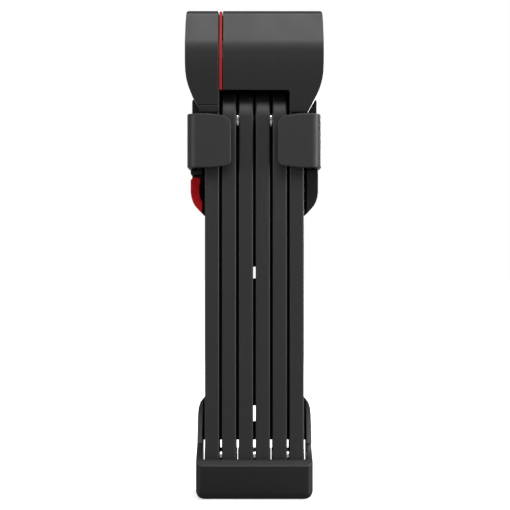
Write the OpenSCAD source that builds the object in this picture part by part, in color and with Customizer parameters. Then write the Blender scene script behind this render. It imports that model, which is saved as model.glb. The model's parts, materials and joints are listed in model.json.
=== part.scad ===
// Folding link lock standing in its frame bracket.
// Origin: centre of the bracket's upper bolt hole, on the face that meets the bicycle frame.
// +Z up, +X to the right of someone facing the lock, +Y into the bicycle frame.

/* [Links] */
// Distance between the two pivots of a link
link_pitch = 150; // [120:1:185]
// Width of a link, front to back
link_w = 25; // [20:0.5:30]
// Thickness of a link with its coat
link_t = 6.3; // [5.6:0.1:7.6]
// Free gap between neighbouring links
link_gap = 1.1; // [1.1:0.1:2.4]
// Thickness of the plastic coat
coat_t = 0.75; // [0.5:0.05:1]
// Diameter of a rivet's shaft
rivet_d = 7; // [5:0.5:9]
// Diameter of a rivet's head and of a spacer washer
rivet_head_d = 8.6; // [8:0.1:12]
// How far a rivet's head stands out of the coat
rivet_proud = 0.4; // [0.2:0.1:0.4]

/* [Head] */
// Half the depth of the head, front to back
head_r = 17.5; // [16:0.5:20]
// Height of the head above the axis of its lock cylinder
head_h = 15.9; // [15:0.1:19]
// Angle by which the upper front leans back
head_lean = 16; // [8:1:22]
// Radius of the upper front edge
head_front_r = 3; // [2.4:0.1:5]
// Radius of the bend in the front where the lean starts
head_bend_r = 20; // [8:1:30]
// Radius of the upper back edge
head_back_r = 9; // [5:0.5:12]
// How far each end of the head stands past the stack of links
head_over = 8.55; // [7:0.05:11]
// Height of the barrel's axis above the links' upper pivots
head_rise = 30.7; // [29:0.1:36]
// Height of the skirt's lower edge above the links' upper pivots
skirt_rise = 11.6; // [8:0.1:12]
// Wall of the head's plastic shells
shell_t = 2.2; // [1.6:0.1:2.4]
// Thickness of the red seal ring
ring_t = 1.4; // [1:0.1:2]
// Height of the outer links' head rivets above the upper pivots
head_rivet_rise = 9.8; // [9.4:0.1:10.5]

/* [Lock cylinder] */
// Outer diameter of the cylinder housing
housing_d = 14.6; // [13:0.2:15]
// Diameter of the key plug
plug_d = 11; // [9:0.2:11.6]
// Diameter of the quarter-turn bolt
bolt_d = 10; // [8:0.2:10.4]
// Width across the flats of the bolt's end
bolt_flat = 6.4; // [5:0.2:7]
// Number of code discs in the plug
disc_count = 8; // [5:1:9]
// Radius of the keyhole cover's lid
cover_r = 5.2; // [4.8:0.1:5.6]

/* [Bracket] */
// Distance between the two frame bolts
bolt_spacing = 64; // [50:1:74]
// Diameter of the frame bolts' holes
bolt_hole_d = 5.3; // [5.1:0.1:6.5]
// Length of the lower slotted hole
slot_len = 7.3; // [6:0.1:12]
// Thickness of the back plate
plate_t = 5; // [4.4:0.2:8]
// Width of the back plate's middle strip
plate_w = 36; // [30:1:42]
// Height of the links' upper pivots above the upper bolt hole
upper_pivot_z = 68.2; // [66:0.2:80]
// Wall of the cup
cup_wall = 2.4; // [2:0.1:3.2]
// Free space between the links and the cup's front wall
cup_front_gap = 2; // [2:0.1:4]
// Free space between the outer links and the cup's side walls
cup_side_gap = 1.4; // [1:0.1:3]
// Thickness of the cup's floor
cup_floor = 3.7; // [2.5:0.1:6]
// Thickness of the clasp housing's web
web_t = 3.6; // [3.6:0.1:3.8]
// How far each side of the clasp housing stands past the stack of links
housing_over = 6.55; // [6.4:0.05:7]

/* [Clasps and lever] */
// Height of a clasp
clasp_h = 23.5; // [20:0.5:26]
// How much lower each long edge of a clasp lies at its tip
clasp_taper = 0.7; // [0:0.1:3]
// Thickness of a clasp
clasp_t = 3; // [2.4:0.1:3.6]
// Gap between the tips of the two clasps
clasp_opening = 20.4; // [18:0.2:28]
// Free space between a clasp and the links in front
clasp_gap = 1.8; // [1.2:0.1:3]
// Diameter of the clasp pins
clasp_pin_d = 2.4; // [2:0.1:2.6]
// Diameter of the lever pin
lever_pin_d = 2.6; // [2:0.1:2.8]
// Width of the release lever's upright part
lever_w = 4.2; // [3.9:0.1:4.4]
// Height of the release lever below its pin
lever_len = 15; // [12:0.5:18]

/* [Fits] */
// Radial clearance of a turning fit
run_fit = 0.05; // [0.02:0.01:0.08]
// Free space between pieces that only sit beside each other
rest_gap = 0.3; // [0.2:0.05:0.4]

/* [Hidden] */
$fn = 96;
fine = 0.05;
small = 0.1;

link_count = 6;
link_step = link_t + link_gap;
pack_half = (link_count * link_t + (link_count - 1) * link_gap) / 2;
core_t = link_t - 2 * (coat_t + fine);
core_in = coat_t + fine;
back_gap = 2.5;
link_y = -(plate_t + back_gap + link_w / 2);
link_front = link_y - link_w / 2;
link_back = link_y + link_w / 2;
lower_pivot_z = upper_pivot_z - link_pitch;
head_rivet_z = upper_pivot_z + head_rivet_rise;

head_half = pack_half + head_over;
head_z = upper_pivot_z + head_rise;
head_top = head_z + head_h;
skirt_z = upper_pivot_z + skirt_rise;
leg_z = upper_pivot_z + 2.1;
collar_z = leg_z + 3.1;
chamber_z = upper_pivot_z + link_w / 2 + 3.7;
case_z = chamber_z + 0.2;
ring_left = -(pack_half - link_t) + fine;
seam_body = ring_left + ring_t - small + rest_gap;
seam_cap = ring_left - rest_gap;
case_left = seam_body + 2;
cap_end = -head_half;
cheek_t = 1.6;
cheek_in = pack_half + 0.25;
cheek_out = cheek_in + cheek_t;
cheek_low = head_rivet_z - rivet_head_d / 2 - 0.3;
plate_in = head_half - 2.2;
cyl_left = 1;
plug_left = cyl_left + 2;

clasp_mid_z = upper_pivot_z - 10.45;
clasp_low = clasp_mid_z - clasp_h / 2;
clasp_top = clasp_mid_z + clasp_h / 2;
clasp_in_y = link_front - clasp_gap;
clasp_out_y = clasp_in_y - clasp_t;
housing_half = pack_half + housing_over;
pin_x = housing_half - 2.3;
pin_y = link_back - 2.5;
knuckle_r = 2.6;
lug_low_top = clasp_low + 4.6;
lug_high_low = clasp_top - 4.2;
knuckle_h = 0.3 * clasp_h;
clasp_arm_in = pin_x + 0.1;
clasp_arm_out = clasp_arm_in + 3.3;
base_upper_t = 3;
web_back = -(base_upper_t + fine);
web_front = web_back - web_t;
block_low = upper_pivot_z - 42.6;
block_top = skirt_z - 0.5;
tongue_t = -(link_y + head_r) - rest_gap;
cheek_depth = link_y - 4;
screw_low_z = block_low + 19;
screw_high_z = block_top - 7.4;

lever_pin_z = block_low + 14.9;
lever_pin_x = -(housing_half - 2.6);
lever_top_z = lever_pin_z + 1.7;
lever_back = link_back + 0.3;
lever_front = cheek_depth;
ear_back = link_back - 5.5;
ear_t = 3;
slot_back = link_back - 2.2;
slot_front = ear_back - ear_t - 0.2;
drive_arm = 5;

cup_half = pack_half + cup_side_gap + cup_wall;
cup_top_z = lower_pivot_z;
cup_in_z = lower_pivot_z - link_w / 2 - rest_gap;
cup_low_z = cup_in_z - cup_floor;
cup_in_y = link_front - cup_front_gap;
cup_out_y = cup_in_y - cup_wall - 0.3;

charcoal = [0.16, 0.16, 0.17];
black = [0.09, 0.09, 0.1];
steel = [0.72, 0.73, 0.75];
red = [0.62, 0.07, 0.07];

// ---------- helpers ----------

function link_x(i) = (i - (link_count + 1) / 2) * link_step;
function link_left(i) = link_x(i) - link_t / 2;
function link_right(i) = link_x(i) + link_t / 2;
function is_outer(i) = i == 1 || i == link_count;
function link_top(i) = is_outer(i) ? head_rivet_z : upper_pivot_z;
function pivot_z(i) = i % 2 == 1 ? lower_pivot_z : upper_pivot_z;

// A round bar along X from x0 to x1 at height z, in the links' middle plane unless y is given
module bar_x(d, x0, x1, z, y = link_y) {
  translate([x0, y, z]) rotate([0, 90, 0]) cylinder(d = d, h = x1 - x0);
}

// A round bar along Y from y0 to y1
module bar_y(d, x, y0, y1, z) {
  translate([x, y1, z]) rotate([90, 0, 0]) cylinder(d = d, h = y1 - y0);
}

// A round bar along Z from z0 to z1
module bar_z(d, x, y, z0, z1) {
  translate([x, y, z0]) cylinder(d = d, h = z1 - z0);
}

// A box given by its lowest and highest corners
module block(low, high) {
  translate(low) cube(high - low);
}

// A flat outline in [y, z], given its thickness along X from x0 to x1
module along_x(x0, x1) {
  translate([x0, 0, 0]) rotate([90, 0, 90]) linear_extrude(x1 - x0) children();
}

// A flat outline in [x, z], given its depth along Y from y0 to y1
module along_y(y0, y1) {
  translate([0, y1, 0]) rotate([90, 0, 0]) linear_extrude(y1 - y0) children();
}

// The outline of a link, smaller by inset all round
module link_outline(top_z, inset) {
  r = link_w / 2 - inset;
  translate([link_y, lower_pivot_z]) circle(r);
  translate([link_y, top_z]) circle(r);
  translate([link_y - r, lower_pivot_z]) square([2 * r, top_z - lower_pivot_z]);
}

// A coil of round wire round the Z axis, as one swept tube; space is the free gap between turns
module coil(coil_r, wire_r, turns, space = 0.12) {
  sides = 8;
  steps = turns * 16;
  rise = turns * (2 * wire_r + space);
  points = [
    for (k = [0:steps])
      let (a = 360 * k / 16)
        for (s = [0:sides - 1])
          let (b = 360 * s / sides, r = coil_r + wire_r * cos(b))
            [r * cos(a), r * sin(a), rise * k / steps + wire_r * sin(b)]
  ];
  tube = [
    for (k = [0:steps - 1])
      for (s = [0:sides - 1])
        let (n = (s + 1) % sides, a = k * sides, b = a + sides)
          each [[a + s, a + n, b + n], [a + s, b + n, b + s]]
  ];
  first_end = [[for (s = [0:sides - 1]) s]];
  last_end = [[for (s = [sides - 1:-1:0]) steps * sides + s]];
  polyhedron(points, concat(first_end, tube, last_end));
}

// ---------- links, rivets and washers ----------

module link_core(i) {
  color(steel) difference() {
    along_x(link_x(i) - core_t / 2, link_x(i) + core_t / 2) link_outline(link_top(i), core_in);
    for (z = [lower_pivot_z, link_top(i)])
      bar_x(rivet_d + 2 * run_fit, link_left(i), link_right(i), z);
  }
}

module link_coat(i) {
  color(charcoal) difference() {
    along_x(link_left(i), link_right(i)) link_outline(link_top(i), 0);
    along_x(link_left(i) + coat_t, link_right(i) - coat_t) link_outline(link_top(i), coat_t);
    for (z = [lower_pivot_z, link_top(i)])
      bar_x(rivet_head_d + 0.2, link_left(i) - 1, link_right(i) + 1, z);
  }
}

// The rivet that joins link i to the next one
module link_rivet(i) {
  z = pivot_z(i);
  left = link_left(i);
  right = link_right(i + 1);
  color(steel) {
    bar_x(rivet_head_d, left - rivet_proud, left + coat_t, z);
    bar_x(rivet_head_d, right - coat_t, right + rivet_proud, z);
    bar_x(rivet_d, left, right, z);
  }
}

// The washer between link i and the next one, with the rivet through it
module link_spacer(i) {
  z = pivot_z(i);
  left = link_right(i) - coat_t;
  right = link_left(i + 1) + coat_t;
  color(steel) difference() {
    bar_x(rivet_head_d, left, right, z);
    bar_x(rivet_d + 2 * run_fit, left - 1, right + 1, z);
  }
}

// ---------- head ----------

// Points of an arc round centre c from angle a0 to angle a1
function arc(c, r, a0, a1, steps) =
  [for (k = [0:steps]) let (a = a0 + (a1 - a0) * k / steps) c + r * [cos(a), sin(a)]];

// How far the head's front curves back below the barrel's axis, in [height, depth]
front_fall = [[skirt_z, 1.6], [head_z - 15, 0.9], [head_z - 11.5, 0.45], [head_z - 8, 0.15], [head_z - 5, 0]];

// Side outline of the head in [y, z], smaller by inset, down to height low.
// The front leans back by head_lean above the barrel's axis, and both upper edges are round.
module head_side(inset, low) {
  r = head_r - inset;
  top = head_top - inset;
  front_r = head_front_r - inset / 2;
  back_r = head_back_r - inset / 2;
  // the leaning front meets the upper front arc here
  rise = top - front_r + front_r * sin(head_lean) - head_z;
  front_c = [link_y - r + rise * tan(head_lean) + front_r * cos(head_lean), top - front_r];
  back_c = [link_y + r - back_r, top - back_r];
  bend_c = [link_y - r + head_bend_r, head_z - head_bend_r * tan(head_lean / 2)];
  polygon(concat(
    [[link_y + r, low], [link_y - r + lookup(low, front_fall), low]],
    [for (p = front_fall) if (p[0] > low + 0.3) [link_y - r + p[1], p[0]]],
    arc(bend_c, head_bend_r, 180, 180 - head_lean, 6),
    arc(front_c, front_r, 180 - head_lean, 90, 8),
    arc(back_c, back_r, 90, 0, 12)
  ));
}

// Side outline of a leg in [y, z]: level with the links behind, and in front it goes on
// with the barrel's curve
module leg_side() {
  front = link_y - head_r;
  foot = link_front - 1.5 - front;
  fall = front_fall[0][1];
  polygon(concat(
    [[link_back, leg_z], [front + foot, leg_z], [front + (foot + fall) / 2 - 0.05, (leg_z + skirt_z) / 2]],
    [for (p = front_fall) [front + p[1], p[0]]],
    [[link_back, front_fall[len(front_fall) - 1][0]]]
  ));
}

// Front outline of the whole head in [x, z]
module head_front() {
  right = [
    [head_half - 7.3, leg_z - 0.1],
    [head_half - 6.9, leg_z],
    [head_half - 6.0, leg_z + 1.7],
    [head_half - 4.6, leg_z + 4.4],
    [head_half - 3.3, leg_z + 6.8],
    [head_half - 2.2, leg_z + 9.2],
    [head_half - 1.3, leg_z + 11.6],
    [head_half - 0.6, leg_z + 14.3],
    [head_half - 0.15, leg_z + 17.6],
    [head_half, leg_z + 21.5],
    [head_half, head_top - 14],
    [head_half - 0.2, head_top - 6],
    [head_half - 0.5, head_top - 1.2],
    [head_half - 0.8, head_top - 0.4],
    [head_half - 1.4, head_top]
  ];
  left = [for (k = [len(right) - 1:-1:0]) [-right[k][0], right[k][1]]];
  polygon(concat(right, left));
}

// The solid outer form of the head between two places along X
module head_form(x0, x1) {
  intersection() {
    union() {
      along_x(x0, x1) head_side(0, skirt_z);
      along_x(x0, x1) leg_side();
    }
    along_y(link_y - head_r - 1, link_y + head_r + 1) head_front();
  }
}

// The head's inner chamber between two places along X, smaller by gap
module head_chamber(x0, x1, gap) {
  intersection() {
    along_x(x0, x1) head_side(shell_t + gap, chamber_z + gap);
    block([x0, link_y - head_r, chamber_z + gap], [x1, link_y + head_r, head_top]);
  }
}

// Room for an outer link's upper end, between x0 and x1
module outer_link_room(x0, x1, gap) {
  top = head_rivet_z + link_w / 2 + gap;
  block([x0, link_front - gap, leg_z - 1], [x1, link_back + gap, head_rivet_z]);
  intersection() {
    bar_x(link_w + 2 * gap, x0, x1, head_rivet_z);
    block([x0, link_front - gap, head_rivet_z - 1], [x1, link_back + gap, top]);
  }
}

opening_r = 1.5;

module body_shell() {
  inner_right = pack_half - link_t - link_gap / 2;
  color(charcoal) difference() {
    head_form(seam_body, head_half);
    // open space between the legs
    along_y(link_y - head_r - 1, 2) polygon(concat(
      [[seam_body - 1, skirt_z], [seam_body - 1, leg_z - 1], [inner_right + 0.6, leg_z - 1]],
      arc([inner_right + 0.6 - opening_r, skirt_z - opening_r], opening_r, 0, 90, 6)
    ));
    // room for the tops of the inner links
    block([seam_body - 1, link_front - 1, leg_z], [inner_right + 0.6, link_back + 1, chamber_z - 2.9]);
    outer_link_room(inner_right + 0.1, pack_half + small, small);
    block([pack_half, link_y - 9.2, cheek_low - 0.2], [cheek_out + 0.2, link_y + 9.2, chamber_z + 1]);
    head_chamber(case_left - 0.2, head_half + 1, 0);
    bar_x(bolt_d + 0.6, seam_body - 1, case_left, head_z);
  }
}

module lock_case() {
  color(steel) difference() {
    union() {
      head_chamber(case_left, plate_in - 0.2, 0.2);
      block([cheek_in, link_y - 9, cheek_low], [cheek_out, link_y + 9, case_z + 1]);
    }
    outer_link_room(pack_half - link_t - 0.1, pack_half + small, small);
    bar_x(bolt_d + 2 * run_fit, case_left - 1, cyl_left + 1, head_z);
    bar_x(housing_d + 2 * run_fit, cyl_left, head_half, head_z);
    bar_x(rivet_d + 2 * fine, cheek_in - 1, cheek_out + 1, head_rivet_z);
    for (s = [-1, 1])
      bar_x(2.1, plate_in - 8, head_half, head_z - 9, link_y + s * 9.5);
  }
}

// The shouldered rivet that holds an outer link to the head; side is 1 on the right, -1 on the left
module head_rivet(side) {
  inner = pack_half - link_t;
  color(steel) mirror([side < 0 ? 1 : 0, 0, 0]) {
    bar_x(rivet_head_d, inner - rivet_proud, inner + coat_t, head_rivet_z);
    bar_x(rivet_d, inner, cheek_out, head_rivet_z);
    bar_x(rivet_head_d, pack_half - coat_t, cheek_in - fine, head_rivet_z);
  }
}

module cylinder_housing() {
  color(steel) difference() {
    bar_x(housing_d, cyl_left + fine, plate_in - 0.3, head_z);
    bar_x(plug_d + 2 * run_fit, plug_left - fine, head_half, head_z);
    bar_x(bolt_d + 2 * run_fit, cyl_left - 1, plug_left, head_z);
  }
}

module key_plug() {
  front = plate_in - 2.1;
  color(steel) difference() {
    bar_x(plug_d, plug_left + fine, plate_in - 0.3, head_z);
    // chamber for the discs
    bar_x(plug_d - 2.4, plug_left + 3, front, head_z);
    // keyway in the face
    block([front - 1, link_y - 0.9, head_z - 3], [head_half, link_y + 0.9, head_z + 3]);
    // slot for the bolt's tongue
    block([plug_left - 1, link_y - 1.55, head_z - 3.55], [plug_left + 2.05, link_y + 1.55, head_z + 3.55]);
    // slot for the side bar
    block([plug_left + 3.5, link_y - 0.8, head_z + 3.9], [front - 0.5, link_y + 0.8, head_z + plug_d]);
  }
}

module lock_discs() {
  first = plug_left + 3 + small;
  step = (plate_in - 2.1 - first) / disc_count;
  color(steel) for (k = [0:disc_count - 1]) {
    x = first + k * step;
    difference() {
      bar_x(plug_d - 2.6, x, x + step - 0.15, head_z);
      block([x - 1, link_y - 0.9, head_z - 3], [x + step, link_y + 0.9, head_z + 3]);
      block([x - 1, link_y - 0.8, head_z + 3.9], [x + step, link_y + 0.8, head_z + plug_d]);
    }
  }
}

module side_bar() {
  low = head_z + 4;
  color(steel) intersection() {
    block([plug_left + 3.6, link_y - 0.7, low], [plate_in - 2.7, link_y + 0.7, head_z + plug_d]);
    bar_x(plug_d, plug_left, plate_in, head_z);
  }
}

module turn_bolt() {
  tip = cap_end + 5.4;
  color(steel) {
    bar_x(bolt_d, seam_body, plug_left, head_z);
    intersection() {
      bar_x(bolt_d, tip, seam_body + 1, head_z);
      block([tip - 1, link_y - bolt_flat / 2, head_z - bolt_d], [seam_body + 1, link_y + bolt_flat / 2, head_z + bolt_d]);
    }
    block([plug_left - 0.5, link_y - 1.5, head_z - 3.5], [plug_left + 2, link_y + 1.5, head_z + 3.5]);
  }
}

// Distance from the key's axis to the keyhole cover's pivot
cover_arm = 8;
cover_swing_r = 13.8;

module key_side_plate() {
  color(charcoal) difference() {
    intersection() {
      head_chamber(plate_in, head_half - 0.1, 0.05);
      along_y(link_y - head_r, link_y + head_r) head_front();
    }
    bar_x(2 * cover_swing_r, head_half - 1.6, head_half + 1, head_z);
    bar_x(8.8, plate_in - 1, head_half, head_z);
    bar_x(2 + 2 * fine, plate_in - 1, head_half, head_z + cover_arm);
    for (s = [-1, 1])
      bar_x(2.7, plate_in - 1, head_half, head_z - 9, link_y + s * 9.5);
  }
}

module plate_screws() {
  color(steel) for (s = [-1, 1])
    translate([0, link_y + s * 9.5, 0]) {
      bar_x(2, plate_in - 7, plate_in + 0.6, head_z - 9, 0);
      difference() {
        bar_x(2.5, plate_in, head_half - 1.7, head_z - 9, 0);
        block([head_half - 2, -1, head_z - 9.25], [head_half, 1, head_z - 8.75]);
      }
    }
}

module keyhole_cover() {
  x0 = head_half - 1.5;
  x1 = head_half - 0.3;
  color(black) difference() {
    union() {
      bar_x(2 * cover_r, x0, x1, head_z);
      bar_x(4.4, x0, x1, head_z + cover_arm);
      block([x0, link_y - 1.6, head_z], [x1, link_y + 1.6, head_z + cover_arm]);
    }
    bar_x(2 + 2 * run_fit, x0 - 1, x1 + 1, head_z + cover_arm);
  }
}

module cover_pin() {
  color(steel) {
    bar_x(2, plate_in, head_half - 0.2, head_z + cover_arm);
    bar_x(3, head_half - 0.25, head_half - 0.02, head_z + cover_arm);
  }
}

module seal_ring() {
  low = head_rivet_z + rivet_head_d / 2 + rest_gap;
  color(red) difference() {
    along_x(ring_left, ring_left + ring_t - small) head_side(0.2, skirt_z);
    along_x(ring_left - 1, ring_left + ring_t + 1) head_side(shell_t, low + 2);
    block([ring_left - 1, link_front - 1, skirt_z - 1], [ring_left + ring_t + 1, link_back + 1, low]);
  }
}

module cap_shell() {
  inner = -(pack_half - link_t) + small;
  color(charcoal) difference() {
    intersection() {
      head_form(cap_end, seam_cap);
      block([cap_end - 1, link_y - head_r - 1, collar_z], [0, 2, head_top + 1]);
    }
    outer_link_room(-pack_half - small, inner, small);
    block([-cheek_out - 0.2, link_y - 9.2, cheek_low - 0.2], [-pack_half, link_y + 9.2, chamber_z + 1]);
    head_chamber(cap_end + 2.4, seam_cap + 1, 0);
    // way out for the bolt once it is turned
    block([cap_end + 5, link_y, head_z - bolt_flat / 2 - 0.2], [0, 2, head_z + bolt_flat / 2 + 0.2]);
  }
}

module cap_keeper() {
  color(steel) difference() {
    union() {
      head_chamber(cap_end + 2.6, seam_cap - 0.1, 0.2);
      block([-cheek_out, link_y - 9, cheek_low], [-cheek_in, link_y + 9, case_z + 1]);
    }
    outer_link_room(-pack_half - small, 0, small);
    bar_x(bolt_d + 0.6, cap_end + 5, 0, head_z);
    block([cap_end + 5, link_y, head_z - bolt_flat / 2 - 0.2], [0, 2, head_z + bolt_flat / 2 + 0.2]);
    bar_x(rivet_d + 2 * fine, -cheek_out - 1, -cheek_in + 1, head_rivet_z);
  }
}

module link_collar() {
  color(charcoal) difference() {
    intersection() {
      head_form(cap_end, -(pack_half - link_t));
      block([cap_end - 1, link_y - head_r - 1, leg_z - 1], [0, 2, collar_z - 0.2]);
    }
    outer_link_room(-pack_half - fine, 0, fine);
  }
}

// ---------- bracket ----------

// Front outline of the plate and cup in [x, z]
module base_front() {
  corner = 4;
  half = plate_w / 2;
  shoulder = cup_top_z + 20;
  polygon([
    [-half, block_low + 4], [half, block_low + 4], [half, shoulder + 10.2],
    [cup_half - 2.4, shoulder + 4.9], [cup_half - 0.8, shoulder + 2.9], [cup_half - 0.2, shoulder + 0.8],
    [cup_half, shoulder - 2], [cup_half, cup_low_z + corner], [cup_half - corner, cup_low_z],
    [-cup_half + corner, cup_low_z], [-cup_half, cup_low_z + corner], [-cup_half, shoulder - 2],
    [-cup_half + 0.2, shoulder + 0.8], [-cup_half + 0.8, shoulder + 2.9], [-cup_half + 2.4, shoulder + 4.9],
    [-half, shoulder + 10.2]
  ]);
  for (s = [-1, 1])
    translate([s * (cup_half - corner), cup_low_z + corner]) circle(corner);
}

// Side outline of the cup in [y, z]: high at the plate, low at the front wall
module cup_side() {
  polygon([
    [0, cup_low_z], [0, cup_top_z + 34], [-plate_t, cup_top_z + 34], [-plate_t, cup_top_z + 24],
    [-plate_t - 6, cup_top_z + 18], [link_y, cup_top_z + 6], [cup_in_y, cup_top_z + 0.8],
    [cup_in_y - 0.8, cup_top_z], [cup_out_y, cup_top_z - 1.8], [cup_out_y, cup_low_z + 3],
    [cup_out_y + 1.2, cup_low_z + 0.8], [cup_out_y + 3, cup_low_z]
  ]);
}

module bracket_base() {
  inner = cup_half - cup_wall;
  window_top = lower_pivot_z + 6;
  // the boss only reaches into the window when the slot does
  slot_low = -bolt_spacing - slot_len / 2 - 2.4;
  boss_top = slot_low < window_top ? -bolt_spacing + slot_len / 2 + 2.4 : cup_in_z + 1;
  color(black) difference() {
    union() {
      intersection() {
        along_y(cup_out_y - 1, 0) base_front();
        along_x(-cup_half - 1, cup_half + 1) cup_side();
      }
      along_y(-plate_t, 0) translate([-plate_w / 2, cup_top_z + 30]) square([plate_w, block_low - cup_top_z - 28]);
      along_y(-base_upper_t, 0) translate([-housing_half + 4, block_low + 2])
        square([2 * housing_half - 8, block_top - block_low - 4]);
      // tongue that stands behind the head
      if (tongue_t > 0.8)
        along_y(-tongue_t, 0) translate([-pack_half, block_top - 8]) square([2 * pack_half, 12.4]);
    }
    // room for the clasp housing's web in front of the thinner upper plate
    block([-head_half, -plate_t - 1, block_low - 0.3], [head_half, -base_upper_t, block_top + 8]);
    // inside of the cup
    block([-inner, cup_in_y, cup_in_z], [inner, -plate_t, cup_top_z + 40]);
    // window behind the links' lower ends, which leaves the slot's boss standing
    difference() {
      block([-inner, -plate_t - 1, cup_in_z + 1.5], [inner, 1, window_top]);
      block([-bolt_hole_d - 1, -plate_t - 2, cup_in_z], [bolt_hole_d + 1, 2, boss_top]);
    }
    // upper frame bolt: hole with a counterbore for the head
    bar_y(bolt_hole_d, 0, -plate_t - 1, 1, 0);
    bar_y(10.4, 0, -plate_t - 1, -plate_t + 1.6, 0);
    // lower frame bolt: slotted hole with a counterbore
    for (s = [-1, 1])
      bar_y(bolt_hole_d, 0, -plate_t - 1, 1, -bolt_spacing + s * (slot_len - bolt_hole_d) / 2);
    block([-bolt_hole_d / 2, -plate_t - 1, -bolt_spacing - (slot_len - bolt_hole_d) / 2],
          [bolt_hole_d / 2, 1, -bolt_spacing + (slot_len - bolt_hole_d) / 2]);
    // threads for the clasp housing's screws
    for (s = [-1, 1], z = [screw_low_z, screw_high_z])
      bar_y(2.6, s * 9, -base_upper_t - 1, -0.6, z);
  }
}

// Front outline of the clasp housing in [x, z]
module housing_front() {
  half = housing_half;
  // the lower corners curve in, as the lever does
  low_corner = [[5.6, 0], [3.3, 2.5], [1.8, 4.3], [0.9, 6.1], [0.3, 8], [0, 10.5]];
  polygon(concat(
    [for (p = low_corner) [half - p[0], block_low + p[1]]],
    [[half, block_top - 1.5], [half - 1.5, block_top], [-half + 1.5, block_top], [-half, block_top - 1.5]],
    [for (k = [len(low_corner) - 1:-1:0]) [-half + low_corner[k][0], block_low + low_corner[k][1]]]
  ));
}

module clasp_housing() {
  half = housing_half;
  cheek_x = pack_half + 1.3;
  color(black) difference() {
    union() {
      along_y(web_front, web_back) housing_front();
      // side walls that close the plate's edges
      intersection() {
        along_y(web_back - 1, 0) housing_front();
        union() {
          block([-half, web_back - 1, block_low], [-half + 3.8, 0, block_top]);
          block([half - 3.8, web_back - 1, block_low], [half, 0, block_top]);
        }
      }
      // cheeks between the links and the clasps
      for (s = [-1, 1])
        block([s > 0 ? cheek_x : -pin_x + 0.3, cheek_depth, clasp_low], [s > 0 ? pin_x - 0.3 : -cheek_x, web_front + 1, clasp_top + 0.3]);
      // lower block on the right
      intersection() {
        along_y(cheek_depth, web_front + 1) housing_front();
        block([cheek_x, cheek_depth, block_low], [half, web_front + 1, clasp_low - rest_gap]);
      }
      // lower block on the left, above the lever
      intersection() {
        along_y(cheek_depth, web_front + 1) housing_front();
        block([-half, cheek_depth, lever_top_z + 1.4], [-cheek_x, web_front + 1, clasp_low - rest_gap]);
      }
      // ear in the middle of the lever
      block([lever_pin_x - 2.2, ear_back - ear_t, lever_pin_z - 2.2], [-cheek_x, ear_back, lever_top_z + 2]);
      // lugs for the clasp pins
      for (s = [-1, 1]) {
        bar_z(2 * knuckle_r, s * pin_x, pin_y, clasp_low + rest_gap, lug_low_top);
        bar_z(2 * knuckle_r, s * pin_x, pin_y, lug_high_low, clasp_top - rest_gap);
        block([s * pin_x - knuckle_r, pin_y, clasp_low + rest_gap], [s * pin_x + knuckle_r, web_front + 1, lug_low_top]);
        block([s * pin_x - knuckle_r, pin_y, lug_high_low], [s * pin_x + knuckle_r, web_front + 1, clasp_top - rest_gap]);
      }
    }
    // room for the clasps' knuckles and springs between the lugs
    for (s = [-1, 1]) {
      bar_z(2 * knuckle_r + 0.8, s * pin_x, pin_y, lug_low_top, lug_high_low);
      bar_z(clasp_pin_d + 0.06, s * pin_x, pin_y, clasp_low + 1, clasp_top - 0.4);
    }
    // pocket for the latch plate, open behind
    latch_room();
    // bores of the lever pin
    bar_y(lever_pin_d + 0.06, lever_pin_x, ear_back - ear_t - 1, ear_back + 1, lever_pin_z);
    bar_y(lever_pin_d + 0.06, lever_pin_x, web_front - 1, web_back - 0.8, lever_pin_z);
    // screw holes
    for (s = [-1, 1], z = [screw_low_z, screw_high_z]) {
      bar_y(3.2, s * 9, web_front - 1, 0, z);
      bar_y(5.8, s * 9, web_front - 1, web_front + 1.7, z);
    }
  }
}

module housing_screws() {
  color(steel) for (s = [-1, 1], z = [screw_low_z, screw_high_z])
    difference() {
      union() {
        bar_y(2.5, s * 9, web_front + 1, -0.8, z);
        bar_y(5.4, s * 9, web_front + 0.1, web_front + 1.65, z);
      }
      translate([s * 9, web_front + 1.1, z]) rotate([90, 0, 0]) cylinder(d = 2.6, h = 3, $fn = 6);
    }
}

// Upright prongs of the latch plate stand behind the clasps' knuckles
prong_x = pack_half + 0.75;
prong_w = 2.6;
latch_y0 = web_back - 2;
latch_y1 = web_back - 0.2;
latch_travel = 2.4;
prong_tip = lug_low_top + 0.85 * knuckle_h;

module latch_plate() {
  low = lever_pin_z - 7;
  bar_h = 5.6;
  tip = prong_tip;
  color(steel) {
    block([-prong_x - prong_w / 2, latch_y0, low], [prong_x + prong_w / 2, latch_y1, low + bar_h]);
    for (s = [-1, 1]) {
      block([s * prong_x - prong_w / 2, latch_y0, s > 0 ? low : lever_pin_z + 3], [s * prong_x + prong_w / 2, latch_y1, tip]);
      block([s * prong_x - prong_w / 2, link_back + 0.2, tip - 3], [s * prong_x + prong_w / 2, latch_y0 + 0.5, tip]);
    }
    // the left prong passes inside the lever's drive peg
    block([-prong_x + 3.2, latch_y0, low], [-prong_x + 5.8, latch_y1, lever_pin_z + 5.6]);
    block([-prong_x - prong_w / 2, latch_y0, lever_pin_z + 3], [-prong_x + 5.8, latch_y1, lever_pin_z + 5.6]);
  }
}

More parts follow.
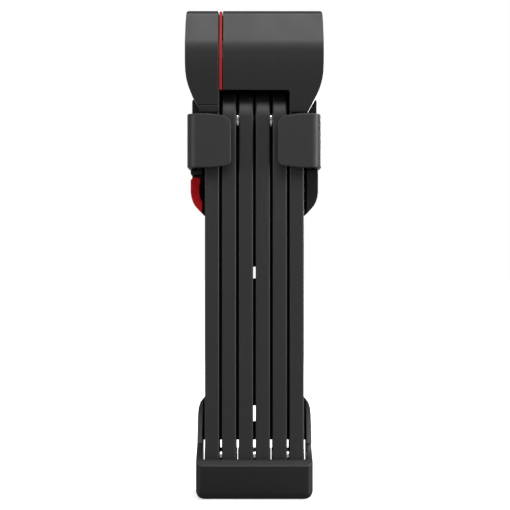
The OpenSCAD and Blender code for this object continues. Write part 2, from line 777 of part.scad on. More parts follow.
module latch_room() {
  low = lever_pin_z - 7 - latch_travel - 0.3;
  tip = prong_tip + 0.3;
  w = prong_w / 2 + 0.2;
  block([-prong_x - w, latch_y0 - 0.2, low], [prong_x + w, web_back + 1, lever_pin_z - 1.2]);
  block([-prong_x - w, latch_y0 - 0.2, low], [-prong_x + 6, web_back + 1, lever_pin_z + 5.8]);
  for (s = [-1, 1]) {
    block([s * prong_x - w, latch_y0 - 0.2, low], [s * prong_x + w, web_back + 1, tip]);
    block([s * prong_x - w, link_back - 0.15, tip - 3.6 - latch_travel], [s * prong_x + w, web_back, tip]);
  }
  // room for the lever's rear flange and drive peg
  block([-head_half, web_front - 1, lever_pin_z - 6], [-prong_x + 4.6, web_front + 0.9, lever_top_z + 1.4]);
  block([lever_pin_x + 2.6, web_front - 1, lever_pin_z - 4.6], [-prong_x + 3, web_back, lever_pin_z + 1.8]);
}

module clasp_pins() {
  color(steel) for (s = [-1, 1])
    bar_z(clasp_pin_d, s * pin_x, pin_y, clasp_low + 1.2, clasp_top - 0.5);
}

module clasp_springs() {
  z0 = lug_low_top + knuckle_h + 0.8;
  room = lug_high_low - 0.8 - z0;
  turns = floor(room / 1.1);
  color(steel) for (s = [-1, 1])
    translate([s * pin_x, pin_y, z0]) coil(1.9, 0.4, turns, room / turns - 0.8);
}

// One clasp, drawn for the right-hand side
module clasp() {
  tip = clasp_opening / 2;
  corner = 4.2;
  low_corner = 2.6;
  tip_low = clasp_low + clasp_taper;
  tip_top = clasp_top - clasp_taper;
  color(charcoal) difference() {
    union() {
      // front plate with rounded inner corners
      intersection() {
        along_y(clasp_out_y, clasp_in_y) {
          polygon([
            [tip, tip_low + low_corner], [tip + low_corner, tip_low], [pin_x - 6, clasp_low], [clasp_arm_out, clasp_low],
            [clasp_arm_out, clasp_top], [pin_x - 6, clasp_top], [tip + corner, tip_top], [tip, tip_top - corner]
          ]);
          translate([tip + low_corner, tip_low + low_corner]) circle(low_corner);
          translate([tip + corner, tip_top - corner]) circle(corner);
        }
        translate([0, 0, clasp_low - 1]) linear_extrude(clasp_h + 2) clasp_plan();
      }
      // arm along the side
      intersection() {
        block([clasp_arm_in, clasp_out_y, clasp_low], [clasp_arm_out, pin_y - 3, clasp_top]);
        translate([0, 0, clasp_low - 1]) linear_extrude(clasp_h + 2) clasp_plan();
      }
      // knuckle on the pin
      bar_z(2 * knuckle_r, pin_x, pin_y, lug_low_top + rest_gap, lug_low_top + knuckle_h);
      block([clasp_arm_in, pin_y - 3.5, lug_low_top + rest_gap], [pin_x + knuckle_r, pin_y, lug_low_top + knuckle_h]);
    }
    bar_z(clasp_pin_d + 2 * run_fit, pin_x, pin_y, clasp_low, clasp_top);
  }
}

// The clasp seen from above, with a round outer corner
module clasp_plan() {
  r = 5;
  union() {
    translate([0, clasp_out_y]) square([clasp_arm_out - r, clasp_t]);
    translate([clasp_arm_in, clasp_out_y + r]) square([clasp_arm_out - clasp_arm_in, 40]);
    intersection() {
      translate([clasp_arm_out - r, clasp_out_y + r]) circle(r);
      translate([clasp_arm_out - r, clasp_out_y]) square([r, r]);
    }
    translate([clasp_arm_out - r - 0.5, clasp_out_y]) square([0.6, clasp_t]);
  }
}

module left_clasp() {
  mirror([1, 0, 0]) clasp();
}

module right_clasp() {
  clasp();
}

module release_lever() {
  half = housing_half;
  low = lever_pin_z - lever_len;
  inner = -(pack_half + 1.3);
  color(red) difference() {
    union() {
      along_y(lever_front, lever_back) polygon([
        [-half, lever_top_z - 1], [-half + 1, lever_top_z], [-half + lever_w, lever_top_z],
        [-half + lever_w, low + 0.57 * lever_len], [inner, low + 0.39 * lever_len],
        [inner, low + 0.04 * lever_len], [-half + 3.3, low + 0.175 * lever_len],
        [-half + 1.8, low + 0.29 * lever_len], [-half + 0.9, low + 0.41 * lever_len],
        [-half + 0.3, low + 0.54 * lever_len], [-half, low + 0.7 * lever_len]
      ]);
      // flange that carries the drive peg behind the first link
      block([lever_pin_x + 0.3, lever_back - 0.2, lever_pin_z - 1.7], [lever_pin_x + drive_arm + 1.5, lever_back + 0.9, lever_pin_z + 1.45]);
      bar_y(2.4, lever_pin_x + drive_arm, lever_back, latch_y1, lever_pin_z);
    }
    bar_y(lever_pin_d + 2 * run_fit, lever_pin_x, lever_front - 1, 0, lever_pin_z);
    // gap for the housing's ear and for the spring
    block([-half - 1, slot_front, lever_pin_z - 5], [inner + 1, slot_back, lever_top_z + 1]);
  }
}

module lever_pin() {
  color(steel) bar_y(lever_pin_d, lever_pin_x, lever_front + 0.4, web_back - 0.9, lever_pin_z);
}

module lever_spring() {
  color(steel) translate([lever_pin_x, slot_back - 0.6, lever_pin_z]) rotate([90, 0, 0]) coil(1.95, 0.28, 3);
}

// ---------- nodes ----------

bracket_base();
clasp_housing();
housing_screws();
clasp_pins();
clasp_springs();
lever_pin();
lever_spring();
latch_plate();
left_clasp();
right_clasp();
release_lever();
link_core(1);  // link_1_core
link_core(2);  // link_2_core
link_core(3);  // link_3_core
link_core(4);  // link_4_core
link_core(5);  // link_5_core
link_core(6);  // link_6_core
link_coat(1);  // link_1_coat
link_coat(2);  // link_2_coat
link_coat(3);  // link_3_coat
link_coat(4);  // link_4_coat
link_coat(5);  // link_5_coat
link_coat(6);  // link_6_coat
link_rivet(1);  // rivet_1_2
link_rivet(2);  // rivet_2_3
link_rivet(3);  // rivet_3_4
link_rivet(4);  // rivet_4_5
link_rivet(5);  // rivet_5_6
link_spacer(1);  // spacer_1_2
link_spacer(2);  // spacer_2_3
link_spacer(3);  // spacer_3_4
link_spacer(4);  // spacer_4_5
link_spacer(5);  // spacer_5_6
body_shell();
lock_case();
head_rivet(1);  // body_rivet
cylinder_housing();
key_plug();
lock_discs();
side_bar();
turn_bolt();
key_side_plate();
plate_screws();
keyhole_cover();
cover_pin();
seal_ring();
cap_shell();
cap_keeper();
head_rivet(-1);  // cap_rivet
link_collar();
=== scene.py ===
# %% [markdown]
# A folding link lock stands in the bracket that bolts to a bicycle frame. The lock is six
# steel links in plastic coats under a barrel-shaped head; the bracket is a cup, a clasp
# housing, two clasps and a red release lever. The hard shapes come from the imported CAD
# model, so this script loads it as a fixed frame and works on edges, finish and light.

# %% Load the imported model
import json
import math

import bmesh
import bpy
from mathutils import Matrix, Vector


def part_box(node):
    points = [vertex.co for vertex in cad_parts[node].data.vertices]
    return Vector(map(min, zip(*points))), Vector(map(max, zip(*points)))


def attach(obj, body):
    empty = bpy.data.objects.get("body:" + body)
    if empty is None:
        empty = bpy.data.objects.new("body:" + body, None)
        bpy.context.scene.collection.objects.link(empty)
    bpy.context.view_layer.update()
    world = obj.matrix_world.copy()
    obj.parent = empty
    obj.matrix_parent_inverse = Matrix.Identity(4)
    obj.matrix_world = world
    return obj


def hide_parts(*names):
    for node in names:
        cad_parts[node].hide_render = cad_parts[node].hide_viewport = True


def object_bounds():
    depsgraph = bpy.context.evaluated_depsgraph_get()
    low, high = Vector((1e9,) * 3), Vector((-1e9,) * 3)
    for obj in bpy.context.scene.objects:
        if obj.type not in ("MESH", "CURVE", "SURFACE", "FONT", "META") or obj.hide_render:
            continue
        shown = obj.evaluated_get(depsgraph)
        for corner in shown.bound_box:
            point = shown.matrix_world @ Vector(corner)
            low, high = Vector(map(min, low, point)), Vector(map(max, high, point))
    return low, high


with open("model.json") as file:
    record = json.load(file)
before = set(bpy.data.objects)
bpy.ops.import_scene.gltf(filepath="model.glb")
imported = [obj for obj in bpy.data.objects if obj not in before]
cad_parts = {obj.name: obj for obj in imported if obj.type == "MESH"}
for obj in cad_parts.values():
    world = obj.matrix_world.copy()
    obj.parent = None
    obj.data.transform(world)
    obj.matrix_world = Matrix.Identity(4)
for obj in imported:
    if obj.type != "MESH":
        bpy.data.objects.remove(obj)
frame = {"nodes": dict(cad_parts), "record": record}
cad_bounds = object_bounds()
MM = 0.001
bodies = frame["record"]["behaviour"]["bodies"]
node_body = {node: body for body, nodes in bodies.items() for node in nodes}
node_slot = {part["node"]: part["material_slot"] for part in frame["record"]["subparts"]}
print("CAD box:", cad_bounds, "nodes:", len(node_body))

# %% [markdown]
# The lock is looked at straight from the front, level with its middle, through a long lens,
# which keeps the outer links nearly parallel. The camera could be aimed with a constraint,
# but a fixed place and a level view are easier to repeat.

# %% Camera
CAMERA_PLACE = Vector((0.27, -740.0, 8.0)) * MM
LENS, SENSOR_WIDTH = 114.35, 36.0  # millimetres, as Blender gives them
camera_data = bpy.data.cameras.new("studio_camera")
camera_data.lens = LENS
camera_data.sensor_width = SENSOR_WIDTH
camera_data.clip_start = 0.01
camera = bpy.data.objects.new("studio_camera", camera_data)
camera.location = CAMERA_PLACE
camera.rotation_euler = (math.radians(90), 0, 0)
bpy.context.scene.collection.objects.link(camera)
bpy.context.scene.camera = camera
print("camera", tuple(round(v, 4) for v in camera.location), "lens", camera_data.lens)

# %% [markdown]
# Several finishes share the same effects: the fine grain of moulded plastic, a lighter highlight
# painted on rounded edges, faint scuffs, and the drawn lines of metal. Each effect is one shader
# node group with named sockets, so that every material can use it with its own values.

# %% Helpers for shader trees
def new_group(name, inputs, outputs):
    """A shader group with its sockets: inputs and outputs are (label, kind, start value)."""
    group = bpy.data.node_groups.new(name, "ShaderNodeTree")
    for label, kind, start in inputs:
        socket = group.interface.new_socket(label, in_out="INPUT", socket_type=kind)
        if start is not None:
            socket.default_value = start
    for label, kind in outputs:
        group.interface.new_socket(label, in_out="OUTPUT", socket_type=kind)
    return group, group.nodes.new("NodeGroupInput"), group.nodes.new("NodeGroupOutput")


def add(tree, kind, sockets=None, **settings):
    """A node with its settings and the start values of its sockets."""
    node = tree.nodes.new(kind)
    for key, value in settings.items():
        setattr(node, key, value)
    for key, value in (sockets or {}).items():
        node.inputs[key].default_value = value
    return node


def calc(tree, operation, a, b):
    """A Math node; a and b are sockets or numbers."""
    node = tree.nodes.new("ShaderNodeMath")
    node.operation = operation
    for slot, value in enumerate((a, b)):
        if isinstance(value, (int, float)):
            node.inputs[slot].default_value = value
        else:
            tree.links.new(value, node.inputs[slot])
    return node.outputs[0]


def remap(tree, value, low, high, to_low, to_high):
    """A clamped Map Range node."""
    node = add(tree, "ShaderNodeMapRange", {1: low, 2: high, 3: to_low, 4: to_high})
    tree.links.new(value, node.inputs[0])
    return node.outputs[0]


def mix_colours(tree, factor, a, b):
    """A Mix node for colours; a and b are sockets or plain colours."""
    node = add(tree, "ShaderNodeMix", data_type="RGBA")
    tree.links.new(factor, node.inputs[0])
    for slot, value in ((6, a), (7, b)):
        if isinstance(value, tuple):
            node.inputs[slot].default_value = (*value, 1.0)
        else:
            tree.links.new(value, node.inputs[slot])
    return node.outputs[2]


print("shader helpers ready")

# %% [markdown]
# Moulded plastic copies the spark-eroded wall of its mould: a fine, even grain of pits about
# a third of a millimetre wide, and over it a slow change in gloss where the melt cooled.
# Two noises would do, but a cell pattern in between gives the pits their rounded edges.

# %% Shader group: grain of moulded plastic
FLOAT, VECTOR = "NodeSocketFloat", "NodeSocketVector"
PITS_PER_METRE = 3200.0
CELLS_PER_PIT = 0.55
grain, g_in, g_out = new_group(
    "moulded_grain",
    [("Vector", VECTOR, None), ("Pits per metre", FLOAT, PITS_PER_METRE)],
    [("Height", FLOAT), ("Mottle", FLOAT)],
)
fine = add(grain, "ShaderNodeTexNoise", {"Detail": 3.0, "Roughness": 0.6})
cells = add(grain, "ShaderNodeTexVoronoi", feature="SMOOTH_F1")
slow = add(grain, "ShaderNodeTexNoise", {"Scale": 55.0, "Detail": 4.0, "Roughness": 0.65})
grain.links.new(g_in.outputs["Vector"], fine.inputs["Vector"])
grain.links.new(g_in.outputs["Vector"], cells.inputs["Vector"])
grain.links.new(g_in.outputs["Vector"], slow.inputs["Vector"])
grain.links.new(g_in.outputs["Pits per metre"], fine.inputs["Scale"])
cell_scale = calc(grain, "MULTIPLY", g_in.outputs["Pits per metre"], CELLS_PER_PIT)
grain.links.new(cell_scale, cells.inputs["Scale"])
pits = calc(grain, "MULTIPLY", cells.outputs["Distance"], 0.6)
grain.links.new(calc(grain, "ADD", fine.outputs["Fac"], pits), g_out.inputs["Height"])
grain.links.new(remap(grain, slow.outputs["Fac"], 0.35, 0.65, 0.0, 1.0), g_out.inputs["Mottle"])
print("group", grain.name, "nodes:", len(grain.nodes))

# %% [markdown]
# Rounded edges get a painted highlight: a lighter colour and a little polish. The pieces below carry
# a number on each face, called rim, which is 1 on a rounded edge. The group breaks that number up
# with noise, so the painted highlight comes and goes along the edge.

# %% Shader group: painted edge highlight
edge_highlight_group, r_in, r_out = new_group(
    "painted_edge_highlight", [("Vector", VECTOR, None), ("Amount", FLOAT, 0.5)], [("Mask", FLOAT)]
)
rim = add(edge_highlight_group, "ShaderNodeAttribute", attribute_name="rim")
breaks = add(edge_highlight_group, "ShaderNodeTexNoise", {"Scale": 260.0, "Detail": 5.0, "Roughness": 0.7})
edge_highlight_group.links.new(r_in.outputs["Vector"], breaks.inputs["Vector"])
broken = remap(edge_highlight_group, breaks.outputs["Fac"], 0.3, 0.7, 0.35, 1.0)
# The rim broken by noise: where the painted edge highlight goes.
highlight_on_rim = calc(edge_highlight_group, "MULTIPLY", rim.outputs["Fac"], broken)
edge_highlight_group.links.new(calc(edge_highlight_group, "MULTIPLY", highlight_on_rim, r_in.outputs["Amount"]), r_out.inputs["Mask"])
print("group", edge_highlight_group.name, "nodes:", len(edge_highlight_group.nodes))

# %% [markdown]
# Sliding in and out of the bracket leaves faint upright scuffs. They are a noise that is
# stretched along Z, cut so that only its highest ridges show.

# %% Shader group: upright scuffs
scuffs, s_in, s_out = new_group(
    "upright_scuffs", [("Vector", VECTOR, None), ("Amount", FLOAT, 0.3)], [("Mask", FLOAT)]
)
stretch = add(scuffs, "ShaderNodeMapping", {"Scale": (2600.0, 2600.0, 45.0)})
lines = add(scuffs, "ShaderNodeTexNoise", {"Scale": 1.0, "Detail": 3.0, "Roughness": 0.55})
patches = add(scuffs, "ShaderNodeTexNoise", {"Scale": 38.0, "Detail": 2.0})
scuffs.links.new(s_in.outputs["Vector"], stretch.inputs["Vector"])
scuffs.links.new(s_in.outputs["Vector"], patches.inputs["Vector"])
scuffs.links.new(stretch.outputs[0], lines.inputs["Vector"])
ridges = remap(scuffs, lines.outputs["Fac"], 0.58, 0.74, 0.0, 1.0)
where = remap(scuffs, patches.outputs["Fac"], 0.45, 0.7, 0.0, 1.0)
both = calc(scuffs, "MULTIPLY", ridges, where)
scuffs.links.new(calc(scuffs, "MULTIPLY", both, s_in.outputs["Amount"]), s_out.inputs["Mask"])
print("group", scuffs.name, "nodes:", len(scuffs.nodes))

# %% [markdown]
# Rivets and washers are turned or cold headed, and then plated. Turning leaves rings round
# the X axis on a shaft's side, so this noise changes fast along X and slowly across it. A
# ring pattern could mark the flat ends too, but hardly any of them shows: a haze is enough.

# %% Shader group: turned metal
turned, t_in, t_out = new_group(
    "turned_metal",
    [("Vector", VECTOR, None), ("Lines per metre", FLOAT, 5200.0)],
    [("Height", FLOAT), ("Haze", FLOAT)],
)
squeeze = add(turned, "ShaderNodeMapping", {"Scale": (1.0, 0.06, 0.06)})
grooves = add(turned, "ShaderNodeTexNoise", {"Detail": 2.0, "Roughness": 0.5})
haze = add(turned, "ShaderNodeTexNoise", {"Scale": 420.0, "Detail": 5.0, "Roughness": 0.7})
turned.links.new(t_in.outputs["Vector"], squeeze.inputs["Vector"])
turned.links.new(squeeze.outputs[0], grooves.inputs["Vector"])
turned.links.new(t_in.outputs["Lines per metre"], grooves.inputs["Scale"])
turned.links.new(t_in.outputs["Vector"], haze.inputs["Vector"])
turned.links.new(grooves.outputs["Fac"], t_out.inputs["Height"])
turned.links.new(remap(turned, haze.outputs["Fac"], 0.35, 0.7, 0.0, 1.0), t_out.inputs["Haze"])
print("group", turned.name, "nodes:", len(turned.nodes))


# %% [markdown]
# A plastic is one shader with three effects. The mottle changes its gloss, the painted edge highlight
# and the scuffs make it lighter and smoother, and the grain lifts its surface through a Bump node.
# The depth of the bump is a real depth in metres, so it holds at any distance.

# %% Material maker: plastic
MOTTLE_SHADE = 0.82  # how dark the mottled places are beside the rest
WEAR_POLISH = -0.12  # what full wear adds to the roughness


def new_material(name):
    material = bpy.data.materials.new(name)
    material.use_nodes = True
    tree = material.node_tree
    return material, tree, tree.nodes["Principled BSDF"]


def group_node(tree, group, vector, **values):
    """A group's node; Pits_per_metre=... sets its socket "Pits per metre"."""
    node = add(tree, "ShaderNodeGroup", node_tree=group)
    tree.links.new(vector, node.inputs["Vector"])
    for label, value in values.items():
        node.inputs[label.replace("_", " ")].default_value = value
    return node


def add_bump(tree, shader, height, depth):
    bump = add(tree, "ShaderNodeBump", {"Strength": 1.0, "Distance": depth})
    tree.links.new(height, bump.inputs["Height"])
    tree.links.new(bump.outputs["Normal"], shader.inputs["Normal"])


def plastic(name, colour, worn_and_highlight_colour, gloss, depth, edge_highlight, scuff, shine=0.3):
    """gloss is (smoothest, roughest); depth is the grain's in metres."""
    material, tree, shader = new_material(name)
    place = add(tree, "ShaderNodeTexCoord").outputs["Object"]
    surface = group_node(tree, grain, place, Pits_per_metre=PITS_PER_METRE)
    edge = group_node(tree, edge_highlight_group, place, Amount=edge_highlight)
    marks = group_node(tree, scuffs, place, Amount=scuff)
    wear_and_highlight = calc(tree, "MAXIMUM", edge.outputs["Mask"], marks.outputs["Mask"])
    shaded = tuple(MOTTLE_SHADE * c for c in colour)
    tone = mix_colours(tree, surface.outputs["Mottle"], colour, shaded)
    # The lighter second colour goes on the scuffs and, as a painted highlight, on the rounded edges.
    tree.links.new(mix_colours(tree, wear_and_highlight, tone, worn_and_highlight_colour), shader.inputs["Base Color"])
    rough = remap(tree, surface.outputs["Mottle"], 0.0, 1.0, gloss[0], gloss[1])
    polish = calc(tree, "MULTIPLY", wear_and_highlight, WEAR_POLISH)
    tree.links.new(calc(tree, "ADD", rough, polish), shader.inputs["Roughness"])
    add_bump(tree, shader, surface.outputs["Height"], depth)
    shader.inputs["Specular IOR Level"].default_value = shine
    return material


# %% [markdown]
# Metal needs no diffuse colour: its colour tints the reflection, and the haze of handling
# changes how sharp that reflection is. The turned lines go into the bump only, because a
# groove this fine is seen through its glitter and not through its colour.

# %% Material maker: metal
def metal(name, colour, dull_colour, gloss, depth):
    """gloss is (smoothest, roughest); depth is the turned lines' in metres."""
    material, tree, shader = new_material(name)
    place = add(tree, "ShaderNodeTexCoord").outputs["Object"]
    surface = group_node(tree, turned, place)
    tone = mix_colours(tree, surface.outputs["Haze"], colour, dull_colour)
    tree.links.new(tone, shader.inputs["Base Color"])
    rough = remap(tree, surface.outputs["Haze"], 0.0, 1.0, gloss[0], gloss[1])
    tree.links.new(rough, shader.inputs["Roughness"])
    add_bump(tree, shader, surface.outputs["Height"], depth)
    shader.inputs["Metallic"].default_value = 1.0
    return material


# %% [markdown]
# The head and the clasps are a satin charcoal, the link coats are a softer and rougher
# plastic, and the bracket is a deeper black. The release lever and the seal ring are two
# reds with little shine, the ring the duller one because it is a soft seal. The washers and
# rivets are bright steel. Screws, pins and the latch plate are blackened against rust.

# %% Finishes
finish = {
    # The second colour of each plastic is the lighter one of its scuffs and its painted edge highlight.
    "head_plastic": plastic(
        "head_plastic", (0.0135, 0.0135, 0.014), (0.045, 0.045, 0.046),
        gloss=(0.36, 0.44), depth=9e-6, edge_highlight=0.4, scuff=0.25,
    ),
    "link_coat": plastic(
        "link_coat", (0.0145, 0.0145, 0.0145), (0.05, 0.05, 0.05),
        gloss=(0.46, 0.56), depth=1.1e-5, edge_highlight=0.5, scuff=0.5,
    ),
    "clasp_plastic": plastic(
        "clasp_plastic", (0.0195, 0.0195, 0.0205), (0.055, 0.055, 0.056),
        gloss=(0.4, 0.48), depth=9e-6, edge_highlight=0.5, scuff=0.3,
    ),
    "bracket_plastic": plastic(
        "bracket_plastic", (0.006, 0.006, 0.0065), (0.035, 0.035, 0.036),
        gloss=(0.38, 0.46), depth=9e-6, edge_highlight=0.45, scuff=0.3,
    ),
    "red_plastic": plastic(
        "red_plastic", (0.46, 0.006, 0.008), (0.45, 0.02, 0.02),
        gloss=(0.4, 0.48), depth=5e-6, edge_highlight=0.4, scuff=0.15, shine=0.12,
    ),
    "red_seal": plastic(
        "red_seal", (0.28, 0.014, 0.012), (0.36, 0.04, 0.035),
        gloss=(0.5, 0.6), depth=6e-6, edge_highlight=0.3, scuff=0.1, shine=0.15,
    ),
    "bright_steel": metal(
        "bright_steel", (0.9, 0.9, 0.9), (0.75, 0.75, 0.76), gloss=(0.14, 0.24), depth=2e-6
    ),
    "hardened_steel": metal(
        "hardened_steel", (0.4, 0.4, 0.41), (0.28, 0.28, 0.29), gloss=(0.32, 0.48), depth=4e-6
    ),
    "brass": metal("brass", (0.74, 0.52, 0.24), (0.6, 0.4, 0.17), gloss=(0.24, 0.38), depth=3e-6),
}
blackened = metal(
    "blackened_steel", (0.03, 0.03, 0.032), (0.018, 0.018, 0.019), gloss=(0.35, 0.5), depth=4e-6
)
BLACKENED_NODES = (
    "housing_screws", "lever_pin", "clasp_pins", "latch_plate", "plate_screws", "body_rivet", "cap_rivet",
)
for node, thing in frame["nodes"].items():
    thing.data.materials.clear()
    thing.data.materials.append(blackened if node in BLACKENED_NODES else finish[node_slot[node]])
print("finishes:", ", ".join(finish), "and", blackened.name)

# %% [markdown]
# CAD edges are perfectly sharp, and a real moulding has none: every edge is rounded by a few
# tenths of a millimetre, and that thin round is what catches the light. A copy of the node
# is merged, its flat faces are joined again, and its sharp edges are beveled. The new faces
# are marked in the rim attribute. A Weighted Normal modifier keeps the flat faces flat.

# %% Helper: soften the edges of a CAD shape
MERGE_DISTANCE = 2e-6
SHORTEST_EDGE = 1e-6
FLAT_ANGLE = math.radians(0.6)
SHARP_ANGLE = math.radians(32.0)
SMOOTH_ANGLE = math.radians(40.0)


def merged_copy(node):
    """A node's mesh as a bmesh, with its doubles merged and its flat faces joined."""
    bm = bmesh.new()
    bm.from_mesh(frame["nodes"][node].data)
    bmesh.ops.remove_doubles(bm, verts=bm.verts, dist=MERGE_DISTANCE)
    bmesh.ops.dissolve_limit(
        bm, angle_limit=FLAT_ANGLE, use_dissolve_boundaries=False,
        verts=bm.verts, edges=bm.edges,
    )
    return bm


def round_edges(bm, edges, width, steps):
    """Bevels the edges and marks the new faces as rim."""
    made = bmesh.ops.bevel(
        bm, geom=edges, offset=width, offset_type="OFFSET", segments=steps, profile=0.5,
        affect="EDGES", clamp_overlap=False, material=-1, loop_slide=True,
    )
    # The new rounds are marked so that the plastics can paint a lighter highlight on them.
    mark = bm.faces.layers.float.get("rim") or bm.faces.layers.float.new("rim")
    for face in made["faces"]:
        if face.is_valid:
            face[mark] = 1.0


def edges_over(bm, angle):
    """The edges whose two faces meet at more than this angle."""
    return [e for e in bm.edges if e.is_manifold and e.calc_face_angle(0.0) > angle]


def piece_from(bm, name, slot, body, replaced):
    """Turns a bmesh into a piece that rides on a body and stands for its CAD nodes."""
    bmesh.ops.dissolve_degenerate(bm, dist=SHORTEST_EDGE, edges=bm.edges)
    for face in bm.faces:
        face.smooth = True
    for edge in bm.edges:
        edge.smooth = True
    for edge in edges_over(bm, SMOOTH_ANGLE):
        edge.smooth = False
    mesh = bpy.data.meshes.new(name)
    open_edges = sum(not e.is_manifold for e in bm.edges)
    bm.to_mesh(mesh)
    bm.free()
    mesh.materials.append(finish[slot])
    piece = bpy.data.objects.new(name, mesh)
    bpy.context.scene.collection.objects.link(piece)
    weighted = piece.modifiers.new("flat faces stay flat", "WEIGHTED_NORMAL")
    weighted.keep_sharp = True
    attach(piece, body)
    if replaced:
        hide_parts(*replaced)
    print(f"{name}: {len(mesh.polygons)} faces, {open_edges} open edges")


def soften(node, width, steps=3, shape=None):
    """Replaces a node by its softened copy; shape is extra work on the sharp mesh."""
    bm = merged_copy(node)
    if shape:
        shape(bm)
    round_edges(bm, edges_over(bm, SHARP_ANGLE), width, steps)
    piece_from(bm, node + "_soft", node_slot[node], node_body[node], [node])


# %% [markdown]
# The cup's front wall has a broad chamfer on its two upright corners. A bevel could not get
# round the cup's round lower corners, whose facets are narrower than the chamfer, so each
# corner is cut off with a slanted plane, and the one open loop that is left gets a new face.

# %% Helper: chamfer the cup's front corners
CUP_CHAMFER = 1.9 * MM
CUT_TOLERANCE = 1e-7


def chamfer_cup(bm):
    """Cuts both front upright corners off at 45 degrees and closes each cut."""
    low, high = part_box("bracket_base")
    for side, edge_x in ((-1, low[0]), (1, high[0])):
        bmesh.ops.bisect_plane(
            bm, geom=bm.verts[:] + bm.edges[:] + bm.faces[:], dist=CUT_TOLERANCE, clear_outer=True,
            plane_co=(edge_x - side * CUP_CHAMFER, low[1], 0.0), plane_no=(side, -1.0, 0.0),
        )
        rim_edges = [e for e in bm.edges if e.is_boundary]
        made = bmesh.ops.contextual_create(bm, geom=rim_edges)
        print("cup chamfer:", len(rim_edges), "edges,", len(made["faces"]), "face")
    bmesh.ops.recalc_face_normals(bm, faces=bm.faces)


# %% [markdown]
# The link coats have the largest rounds, because a thick soft coat is moulded over the steel.
# The head, the clasps and the bracket have the small rounds of hard mouldings, and the rivets
# and washers only a broken edge. Larger bevels would run into each other on the thin pieces.

# %% Soften the pieces that show
COAT_ROUND, CLASP_ROUND, BRACKET_ROUND, SHELL_ROUND, STEEL_ROUND = (
    width * MM for width in (0.8, 0.5, 0.35, 0.3, 0.15)
)
SHELLS = ("body_shell", "cap_shell", "link_collar", "seal_ring", "key_side_plate", "keyhole_cover")
for number in range(1, 7):
    soften(f"link_{number}_coat", COAT_ROUND, steps=4)
for node in ("left_clasp", "right_clasp"):
    soften(node, CLASP_ROUND)
for node in SHELLS:
    soften(node, SHELL_ROUND)
soften("bracket_base", BRACKET_ROUND, shape=chamfer_cup)
for node in ("clasp_housing", "release_lever"):
    soften(node, BRACKET_ROUND)
for kind in ("rivet", "spacer"):
    for number in range(1, 6):
        soften(f"{kind}_{number}_{number + 1}", STEEL_ROUND, steps=2)

# %% [markdown]
# The release lever turns on a pin that is pushed in from behind, so the front of its bore is
# moulded shut and no steel shows there. The CAD bore goes right through. A thin red button
# with a broken edge closes it, and rides on the lever, so the lever's own mesh stays simple.

# %% Button over the lever's pin
BUTTON_R, BUTTON_T, BUTTON_PROUD = 1.75 * MM, 0.38 * MM, 0.06 * MM
BUTTON_ROUND = 0.05 * MM
pin_low, pin_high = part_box("lever_pin")
lever_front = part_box("release_lever")[0][1]
bm = bmesh.new()
bmesh.ops.create_cone(
    bm, cap_ends=True, segments=64, radius1=BUTTON_R, radius2=BUTTON_R, depth=BUTTON_T
)
face_forward = Matrix.Rotation(math.radians(90), 3, "X")
bmesh.ops.rotate(bm, verts=bm.verts, cent=(0, 0, 0), matrix=face_forward)
middle = (
    (pin_low[0] + pin_high[0]) / 2,
    lever_front - BUTTON_PROUD + BUTTON_T / 2,
    (pin_low[2] + pin_high[2]) / 2,
)
bmesh.ops.translate(bm, verts=bm.verts, vec=middle)
round_edges(bm, edges_over(bm, SHARP_ANGLE), BUTTON_ROUND, steps=2)
piece_from(bm, "lever_pin_button", node_slot["release_lever"], node_body["release_lever"], [])

# %% [markdown]
# Four soft lamps light the lock. A large one above the camera lights the faces that lean
# back, a tall one on the right picks out the clasp's round corner, a weak one on the left
# fills, and one behind to the right gives the edges a thin line. A sun would cast hard
# shadows from every clasp and link, so each lamp is a rectangle that gives soft ones.

# %% Lamps
LAMPS = {  # name: place, target, size (all in metres), power in watts
    "overhead_box": ((0.05, -0.5, 0.7), (0.0, 0.0, 0.05), (0.7, 0.4), 7.4),
    "right_box": ((0.7, -0.26, 0.08), (0.0, 0.0, 0.0), (0.25, 0.8), 8.0),
    "left_box": ((-0.7, -0.45, 0.2), (0.0, 0.0, 0.0), (0.3, 0.7), 3.0),
    "rear_box": ((0.35, 0.6, 0.3), (0.0, 0.0, 0.0), (0.5, 0.6), 12.0),
}
for name, (place, target, size, power) in LAMPS.items():
    data = bpy.data.lights.new(name, "AREA")
    data.shape = "RECTANGLE"
    data.size, data.size_y = size
    data.energy = power
    lamp = bpy.data.objects.new(name, data)
    lamp.location = place
    aim = Vector(target) - Vector(place)
    lamp.rotation_euler = aim.to_track_quat("-Z", "Y").to_euler()
    bpy.context.scene.collection.objects.link(lamp)
    print(f"{name}: {power} W")

# %% [markdown]
# Dark plastic shows its surroundings more than its own colour, so the world is a dim grey to
# the object's own light and white only to the camera. Reflections see a part of that white.
# Light Path makes the choice. A white world for all rays would wash the charcoal out.

# %% World
WORLD_GREY, WHITE = (0.2, 0.2, 0.2), (1.0, 1.0, 1.0)
GLOSSY_SHARE = 0.35  # how much of the white a reflection sees
world = bpy.data.worlds.new("white_studio")
bpy.context.scene.world = world
world.use_nodes = True
sky = world.node_tree
background = sky.nodes["Background"]
background.inputs["Strength"].default_value = 1.0
rays = add(sky, "ShaderNodeLightPath").outputs
seen = calc(sky, "MAXIMUM", rays["Is Camera Ray"], rays["Is Transmission Ray"])
seen = calc(sky, "MAXIMUM", seen, calc(sky, "MULTIPLY", rays["Is Glossy Ray"], GLOSSY_SHARE))
sky.links.new(mix_colours(sky, seen, WORLD_GREY, WHITE), background.inputs["Color"])
print("world", world.name, "grey", WORLD_GREY[0], "with", GLOSSY_SHARE, "of white in reflections")

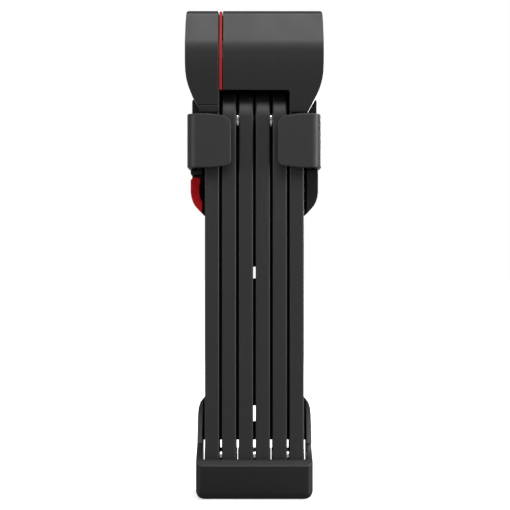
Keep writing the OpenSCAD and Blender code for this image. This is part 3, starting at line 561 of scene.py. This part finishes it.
# %% [markdown]
# The floor is paper that fades to plain white away from the object, so it meets the white
# world without a line and still holds the shadow. It sends less light up to the object than
# the camera sees, as a floor that lies mostly in the lamps' own shade does.

# %% Floor
FLOOR_Z = cad_bounds[0][2] - 0.2 * MM
FLOOR_SIZE = 6.0
FADE_START, FADE_END = 0.2, 0.6  # distances from the origin in metres
GLOW_NEAR, GLOW_FAR = 0.6, 1.0  # what the paper adds for the camera
bm = bmesh.new()
bmesh.ops.create_grid(bm, x_segments=1, y_segments=1, size=FLOOR_SIZE)
bmesh.ops.translate(bm, verts=bm.verts, vec=(0, 0, FLOOR_Z))
mesh = bpy.data.meshes.new("studio_floor")
bm.to_mesh(mesh)
bm.free()
floor = bpy.data.objects.new("studio_floor", mesh)
bpy.context.scene.collection.objects.link(floor)
paper, tree, shader = new_material("white_paper")
shader.inputs["Base Color"].default_value = (0.6, 0.6, 0.6, 1)
shader.inputs["Roughness"].default_value = 0.9
shader.inputs["Specular IOR Level"].default_value = 0.0
glow = add(tree, "ShaderNodeEmission")
away = add(tree, "ShaderNodeVectorMath", operation="LENGTH")
tree.links.new(add(tree, "ShaderNodeTexCoord").outputs["Object"], away.inputs[0])
fade = remap(tree, away.outputs["Value"], FADE_START, FADE_END, GLOW_NEAR, GLOW_FAR)
tree.links.new(fade, glow.inputs["Strength"])
bright = add(tree, "ShaderNodeAddShader")
dim = add(tree, "ShaderNodeBsdfDiffuse", {"Color": (0.3, 0.3, 0.3, 1)})
choose = add(tree, "ShaderNodeMixShader")
tree.links.new(shader.outputs[0], bright.inputs[0])
tree.links.new(glow.outputs[0], bright.inputs[1])
tree.links.new(add(tree, "ShaderNodeLightPath").outputs["Is Camera Ray"], choose.inputs[0])
tree.links.new(dim.outputs[0], choose.inputs[1])
tree.links.new(bright.outputs[0], choose.inputs[2])
tree.links.new(choose.outputs[0], tree.nodes["Material Output"].inputs["Surface"])
mesh.materials.append(paper)
print("floor at", round(FLOOR_Z, 4), "m")

# %% [markdown]
# Last comes the plain colour view. The CAD model's box was taken at the start, before anything
# was added. The second has to stay inside the first.

bpy.context.scene.view_settings.view_transform = "Standard"
